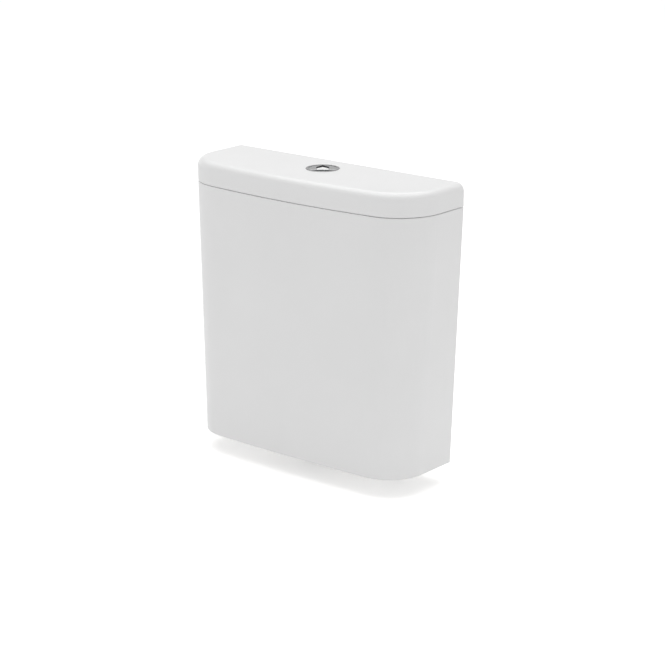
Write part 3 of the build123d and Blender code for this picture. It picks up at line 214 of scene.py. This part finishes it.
def glazed_ceramic():
    """White glaze with a faint wave, and bare biscuit where the tank stood in the kiln."""
    material, tree, shader = begin("glazed_ceramic", coat=0.12, coat_roughness=0.12)
    glaze = mixed(tree, spread(tree, noise(tree, 9.0), 0, 1), *GLAZE)
    axes = add(tree, "SeparateXYZ", {0: place(tree)})
    facing = add(tree, "SeparateXYZ", {0: add(tree, "NewGeometry").outputs["True Normal"]})
    low = maths(tree, "LESS_THAN", axes.outputs[2], BISCUIT_TOP)
    down = maths(tree, "LESS_THAN", facing.outputs[2], -0.7)
    bare = maths(tree, "MULTIPLY", low, down)
    speckle = spread(tree, noise(tree, 900.0, 2.0), 0, 1, 0.35, 0.65)
    biscuit = mixed(tree, speckle, *BISCUIT)
    colour = mixed(tree, bare, glaze, biscuit)
    smooth = spread(tree, noise(tree, 14.0), 0.28, 0.36)
    roughness = add(tree, "Mix", {0: bare, 2: smooth, 3: 0.85}).outputs[0]
    wave = bump(tree, noise(tree, 22.0, 1.0), 0.0004, 0.35)
    normal = bump(tree, noise(tree, 420.0, 2.0), 0.00003, 0.25, wave)
    finish_shader(tree, shader, colour, roughness, normal)
    return material


def chrome():
    """Bright plating with wiping marks, painted shade on steep faces, and a satin finger dish with a
    painted highlight.
    """
    material, tree, shader = begin("chrome", metallic=1.0)
    marks = noise(tree, 300.0, 4.0, (1, 1, 0.1))
    tone = spread(tree, noise(tree, 60.0), 0, 1)
    bright = mixed(tree, tone, *PLATING)
    facing = add(tree, "SeparateXYZ", {0: add(tree, "NewGeometry").outputs["True Normal"]})
    steep = spread(tree, facing.outputs[2], 1, 0, 0.6, 0.92)
    backward = (-math.sin(BUTTON_TURN), math.cos(BUTTON_TURN), 0)
    along = add(tree, "VectorMath", {0: place(tree), 1: backward}, operation="DOT_PRODUCT")
    behind = maths(tree, "GREATER_THAN", along.outputs["Value"], -SPLIT_OFFSET)
    level = add(tree, "SeparateXYZ", {0: place(tree)}).outputs[2]
    sunk = maths(tree, "LESS_THAN", level, BUTTON_TOP - DISH_SKIN)
    satin_and_highlight = maths(tree, "MULTIPLY", behind, sunk)
    # painted highlight: the sunken dish behind the split is lightened in colour; its roughness is a
    # real satin finish
    with_dish_highlight = mixed(tree, satin_and_highlight, bright, DISH_PAINTED_HIGHLIGHT)
    # painted shade: steep faces are darkened in colour; their higher roughness is real
    colour = mixed(tree, steep, with_dish_highlight, STEEP_PAINTED_SHADE)
    polished = spread(tree, marks, 0.07, 0.15)
    brushed = add(tree, "Mix", {0: satin_and_highlight, 2: polished, 3: 0.55}).outputs[0]
    roughness = add(tree, "Mix", {0: steep, 2: brushed, 3: 0.5}).outputs[0]
    normal = bump(tree, noise(tree, 1500.0, 2.0), 0.00001, 0.3)
    finish_shader(tree, shader, colour, roughness, normal)
    return material


def moulded_plastic(name, colour, gloss=0.42, thread=None):
    """Moulded plastic with a fine spark-eroded grain and slight flow marks."""
    material, tree, shader = begin(name, ior=1.49)
    flow = spread(tree, noise(tree, 35.0, 3.0, (1, 1, 0.35)), 0, 1)
    tone = mixed(tree, flow, shade(colour, 0.93), shade(colour, 1.05))
    roughness = spread(tree, noise(tree, 180.0, 2.0), gloss - 0.07, gloss + 0.08)
    normal = bump(tree, noise(tree, 2600.0, 1.0), 0.00004, 0.35)
    if thread is not None:
        normal = bump(tree, screw_thread(tree, **thread), PLASTIC_THREAD_DEPTH, 0.9, normal)
    finish_shader(tree, shader, tone, roughness, normal)
    return material


def moulded_rubber(name, colour, dust, gloss):
    """Rubber with a dull skin and a thin bloom."""
    material, tree, shader = begin(name, ior=1.45)
    bloom = spread(tree, noise(tree, 55.0, 5.0), 0, 1, 0.42, 0.75)
    tone = mixed(tree, bloom, shade(colour, 1.0), shade(dust, 1.0))
    roughness = spread(tree, noise(tree, 240.0, 3.0), gloss - 0.08, gloss + 0.08)
    normal = bump(tree, noise(tree, 1800.0, 3.0), 0.00006, 0.4)
    finish_shader(tree, shader, tone, roughness, normal)
    return material


def closed_cell_foam():
    """Foam of the floats, with its cells showing as fine pits."""
    material, tree, shader = begin("float_foam", ior=1.4)
    cells = add(tree, "TexVoronoi", {"Vector": place(tree), "Scale": 620.0}).outputs["Distance"]
    fleck = spread(tree, cells, 0, 1, 0.1, 0.7)
    tone = mixed(tree, fleck, *FOAM)
    roughness = spread(tree, noise(tree, 90.0), 0.72, 0.88)
    finish_shader(tree, shader, tone, roughness, bump(tree, cells, 0.0003, 0.5))
    return material


def turned_metal(name, colour, gloss, thread=None):
    """Metal with the fine rings of the lathe and a little tarnish."""
    material, tree, shader = begin(name, metallic=1.0)
    tarnish = spread(tree, noise(tree, 140.0, 5.0), 0, 1, 0.35, 0.7)
    tone = mixed(tree, tarnish, shade(colour, 0.82), shade(colour, 1.08))
    rings = noise(tree, 90.0, 2.0, (6, 6, 60))
    roughness = spread(tree, rings, gloss - 0.06, gloss + 0.1)
    normal = bump(tree, rings, 0.00006, 0.4)
    if thread is not None:
        normal = bump(tree, screw_thread(tree, **thread), METAL_THREAD_DEPTH, 0.9, normal)
    finish_shader(tree, shader, tone, roughness, normal)
    return material


finishes = {
    "glazed_ceramic": glazed_ceramic(),
    "chrome": chrome(),
    "white_plastic": moulded_plastic("white_plastic", WHITE),
    "grey_plastic": moulded_plastic("grey_plastic", GREY, 0.45),
    "blue_plastic": moulded_plastic("blue_plastic", BLUE, 0.38),
    "yellow_plastic": moulded_plastic("yellow_plastic", AMBER, 0.38),
    "float_foam": closed_cell_foam(),
    "brass": turned_metal("brass", BRASS, 0.28),
    "steel": turned_metal("steel", STEEL, 0.3),
    "spring_steel": turned_metal("spring_steel", SPRING_STEEL, 0.25),
    "black_rubber": moulded_rubber("black_rubber", SOOT, BLOOM, 0.7),
    "silicone": moulded_rubber("silicone", SILICONE, SILICONE_DUST, 0.5),
}
threads = {
    "fill_valve_shank": moulded_plastic(
        "shank_plastic", WHITE, 0.42, thread_of(0.135, 0.01048, 0.0018, -0.0155, 0.0385)
    ),
    "blanking_plug": moulded_plastic(
        "plug_plastic", GREY, 0.45, thread_of(-0.135, 0.01048, 0.0018, -1.0, 0.0385)
    ),
    "flush_valve_base": moulded_plastic(
        "tail_plastic", WHITE, 0.42, thread_of(0.0, 0.0298, 0.003, -0.0155, 0.0405)
    ),
    "button_barrel": moulded_plastic(
        "barrel_plastic", WHITE, 0.42, thread_of(0.0, 0.021, 0.003, 0.3555, 0.3895)
    ),
    "level_screw": moulded_plastic(
        "screw_plastic", AMBER, 0.38, thread_of(0.0932, 0.0025, 0.004, 0.15, 0.262)
    ),
    "coupling_bolts": turned_metal(
        "bolt_brass", BRASS, 0.28, thread_of(0.075, 0.004, 0.00125, -0.0255, 0.0158, True)
    ),
}
for entry in frame["record"]["subparts"]:
    dressed = frame["nodes"][entry["node"]]
    for holder in dressed.material_slots:
        holder.material = threads.get(entry["node"], finishes[entry["material_slot"]])


# Return springs, wound with closed ends


def spring_points(x, y):
    """The wire's middle line, close wound at both ends."""
    low, high = SPRING_SEAT + WIRE_RADIUS, SPRING_TOP - WIRE_RADIUS
    lead = CLOSED_PITCH_SHARE * WIRE_RADIUS
    open_turns = SPRING_TURNS - END_TURNS
    free = high - low - lead * END_TURNS
    points = []
    for step in range(SPRING_TURNS * STEPS_PER_TURN + 1):
        turn = step / STEPS_PER_TURN
        closed_low = min(turn, END_TURNS / 2)
        closed_high = max(0.0, turn - (SPRING_TURNS - END_TURNS / 2))
        opened = turn - closed_low - closed_high
        level = low + lead * (closed_low + closed_high) + free * opened / open_turns
        angle = 2 * math.pi * turn
        points.append(
            Vector((x + SPRING_RADIUS * math.cos(angle), y + SPRING_RADIUS * math.sin(angle), level))
        )
    return points


def wire(name, points, radius, sides):
    """A round wire along points, closed at both ends."""
    mesh = bmesh.new()
    rings = []
    for index, point in enumerate(points):
        ahead = points[min(index + 1, len(points) - 1)]
        behind = points[max(index - 1, 0)]
        way = (ahead - behind).normalized()
        side = way.cross(Vector((0, 0, 1))).normalized()
        rise = side.cross(way)
        corners = []
        for corner in range(sides):
            angle = 2 * math.pi * corner / sides
            offset = side * math.cos(angle) + rise * math.sin(angle)
            corners.append(mesh.verts.new(point + offset * radius))
        rings.append(corners)
    for first, second in zip(rings, rings[1:]):
        for corner in range(sides):
            following = (corner + 1) % sides
            mesh.faces.new((first[corner], first[following], second[following], second[corner]))
    mesh.faces.new(rings[0])
    mesh.faces.new(rings[-1])
    bmesh.ops.recalc_face_normals(mesh, faces=mesh.faces)
    data = bpy.data.meshes.new(name)
    mesh.to_mesh(data)
    mesh.free()
    for face in data.polygons:
        face.use_smooth = len(face.vertices) == 4
    made = bpy.data.objects.new(name, data)
    bpy.context.scene.collection.objects.link(made)
    return made


for name, side in (("full_flush", 1), ("half_flush", -1)):
    across, along = side * ROD_SIDE, side * ROD_OFFSET
    x = across * math.cos(BUTTON_TURN) - along * math.sin(BUTTON_TURN)
    y = across * math.sin(BUTTON_TURN) + along * math.cos(BUTTON_TURN)
    coil = wire(name + "_spring_coil", spring_points(x, y), WIRE_RADIUS, WIRE_SIDES)
    coil.data.materials.append(finishes["spring_steel"])
    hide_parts(name + "_return_spring")
    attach(coil, "lid")
    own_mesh(coil)


# Floor, lamps and camera


def floor():
    """A pale floor that fades to white and keeps the cistern's shadow."""
    material, tree, shader = begin("floor")
    shader.inputs["Base Color"].default_value = FLOOR_TONE
    shader.inputs["Roughness"].default_value = 0.9
    shader.inputs["Specular IOR Level"].default_value = 0.0
    shader.inputs["Emission Color"].default_value = (1, 1, 1, 1)
    seen = add(tree, "LightPath").outputs["Is Camera Ray"]
    glow = spread(tree, seen, FLOOR_GLOW, FLOOR_GLOW_SEEN, 0.0, 1.0)
    set_input(tree, shader.inputs["Emission Strength"], glow)
    mesh = bmesh.new()
    bmesh.ops.create_grid(mesh, x_segments=8, y_segments=8, size=FLOOR_REACH)
    data = bpy.data.meshes.new("floor")
    mesh.to_mesh(data)
    mesh.free()
    data.materials.append(material)
    made = bpy.data.objects.new("floor", data)
    made.location = (0, 0, FLOOR_LEVEL)
    bpy.context.scene.collection.objects.link(made)


def soft_lamp(name, location, size, power):
    """A round area lamp that points at the cistern."""
    data = bpy.data.lights.new(name, "AREA")
    data.shape = "DISK"
    data.size = size
    data.energy = power
    made = bpy.data.objects.new(name, data)
    made.location = location
    made.rotation_euler = (Vector(LAMP_AIM) - Vector(location)).to_track_quat("-Z", "Y").to_euler()
    bpy.context.scene.collection.objects.link(made)


def surroundings():
    """An even white room, with a darker band above the horizon for plated metal to mirror."""
    world = bpy.data.worlds.new("room")
    bpy.context.scene.world = world
    world.use_nodes = True
    tree = world.node_tree
    tree.nodes.clear()
    way = add(tree, "SeparateXYZ", {0: add(tree, "TexCoord").outputs["Generated"]})
    ramp = add(tree, "ValToRGB", {0: spread(tree, way.outputs[2], 0, 1, 0, 1.0)})
    elements = ramp.color_ramp.elements
    for index, (position, tone) in enumerate(MIRRORED_ROOM):
        element = elements[index] if index < 2 else elements.new(position)
        element.position = position
        element.color = (tone, tone, tone, 1)
    light = add(tree, "Background", {"Color": (1, 1, 1, 1), "Strength": ROOM_LIGHT})
    mirrored = add(tree, "Background", {"Color": ramp.outputs[0], "Strength": 1.0})
    white = add(tree, "Background", {"Color": (1, 1, 1, 1), "Strength": 1.0})
    rays = add(tree, "LightPath")
    glossy, seen = rays.outputs["Is Glossy Ray"], rays.outputs["Is Camera Ray"]
    first = add(tree, "MixShader", {0: glossy, 1: light.outputs[0], 2: mirrored.outputs[0]})
    second = add(tree, "MixShader", {0: seen, 1: first.outputs[0], 2: white.outputs[0]})
    last = add(tree, "OutputWorld")
    tree.links.new(second.outputs[0], last.inputs["Surface"])


floor()
surroundings()
soft_lamp("over", (-0.2, 0.2, 2.3), 3.0, 30.0)
soft_lamp("right", (2.4, -0.6, 1.0), 1.6, 1.5)

camera = bpy.data.objects.new("camera", bpy.data.cameras.new("camera"))
camera.location = EYE
camera.rotation_euler = (Vector(AIM) - Vector(EYE)).to_track_quat("-Z", "Y").to_euler()
camera.data.lens = LENS
camera.data.sensor_width = SENSOR_WIDTH
camera.data.clip_end = FAR_CLIP
bpy.context.scene.collection.objects.link(camera)
bpy.context.scene.camera = camera
bpy.context.scene.view_settings.view_transform = "Standard"
